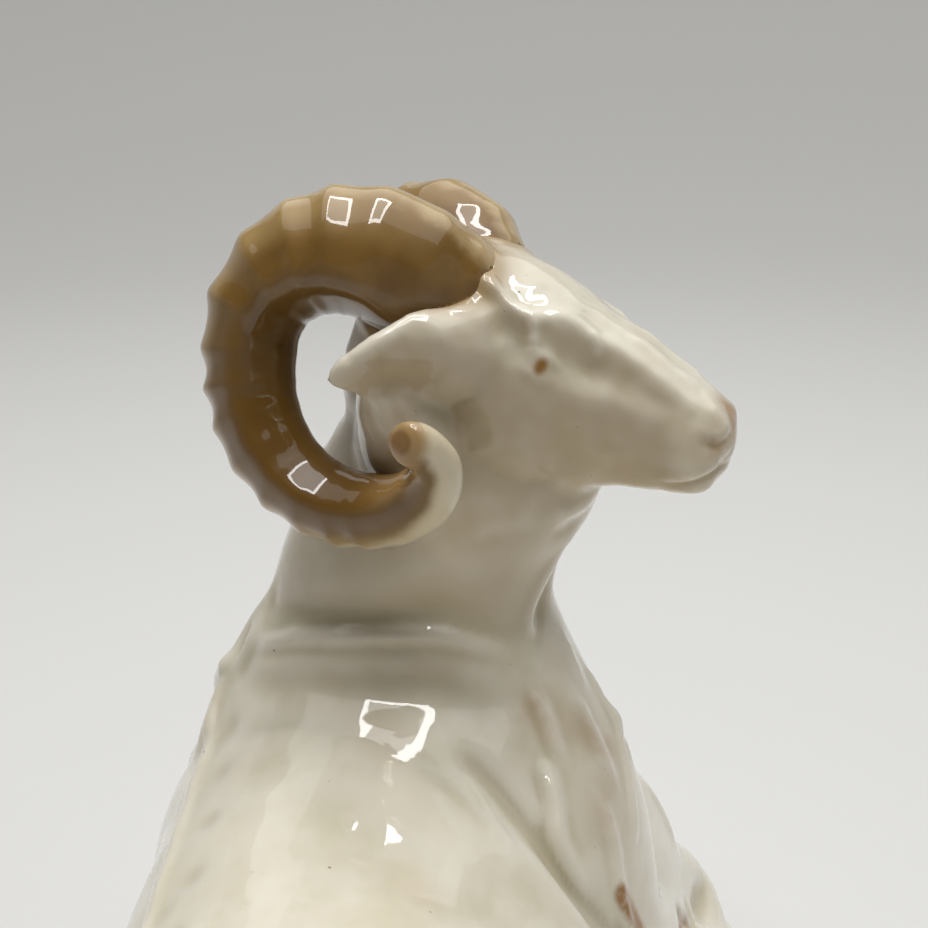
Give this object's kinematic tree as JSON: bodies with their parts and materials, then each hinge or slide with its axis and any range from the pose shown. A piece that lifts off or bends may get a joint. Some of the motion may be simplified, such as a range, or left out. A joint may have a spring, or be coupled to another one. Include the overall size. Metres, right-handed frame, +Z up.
{
  "type": "reclining ram figurine",
  "caption": "Glazed porcelain figurine of a reclining ram with its head turned to the side and long curled horns, resting on a flat underside.",
  "frame": {"origin": "on the table under the middle of the trunk, on the flat underside", "axes": "+X from the rump to the chest along the trunk, +Y to the animal's left, +Z up; the head is turned to -Y"},
  "size_m": [0.2007, 0.1243, 0.1727],
  "materials": {
    "body_glaze": "clear high-gloss glaze over warm white porcelain with faint pinkish brown underglaze spraying",
    "horn_glaze": "clear high-gloss glaze over brown sprayed underglaze, paler on the ridges and towards the tip"
  },
  "bodies": {
    "root": {"trunk_shell": "body_glaze", "underside_slab": "body_glaze", "neck_shell": "body_glaze", "head_shell": "body_glaze", "horn_right": "horn_glaze", "horn_left": "horn_glaze", "ear_right": "body_glaze", "ear_left": "body_glaze", "foreleg_right": "body_glaze", "foreleg_left": "body_glaze", "hind_leg_right": "body_glaze", "hind_leg_left": "body_glaze", "tail": "body_glaze"}
  },
  "joints": []
}
